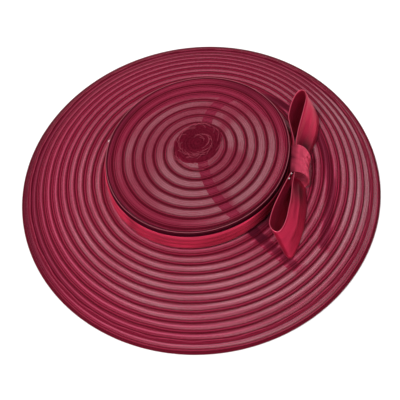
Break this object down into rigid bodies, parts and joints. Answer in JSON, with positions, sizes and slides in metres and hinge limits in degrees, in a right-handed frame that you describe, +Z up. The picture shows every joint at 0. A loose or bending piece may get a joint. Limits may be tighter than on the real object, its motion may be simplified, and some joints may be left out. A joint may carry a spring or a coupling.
{
  "type": "wide-brim fascinator hat",
  "caption": "Round fascinator hat of spiral-sewn translucent braid with a drooping wide brim, low flat crown, satin ribbon, side bow and headband.",
  "frame": {"origin": "in the plane of the brim's edge, below the middle of the brim", "axes": "+Z up through the crown, +X towards the side with the bow, -Y towards the front"},
  "size_m": [0.3298, 0.3298, 0.0639],
  "materials": {
    "braid": "matte translucent braid",
    "edge": "satin",
    "ribbon": "satin",
    "bow": "satin",
    "headband": "satin"
  },
  "bodies": {
    "root": {"brim": "braid", "brim_edge": "edge", "crown_side": "braid", "crown_tip": "braid", "crown_edge": "edge", "ribbon_band": "ribbon", "bow_loop_back": "bow", "bow_loop_front": "bow", "bow_knot": "bow", "headband": "headband"}
  },
  "joints": []
}
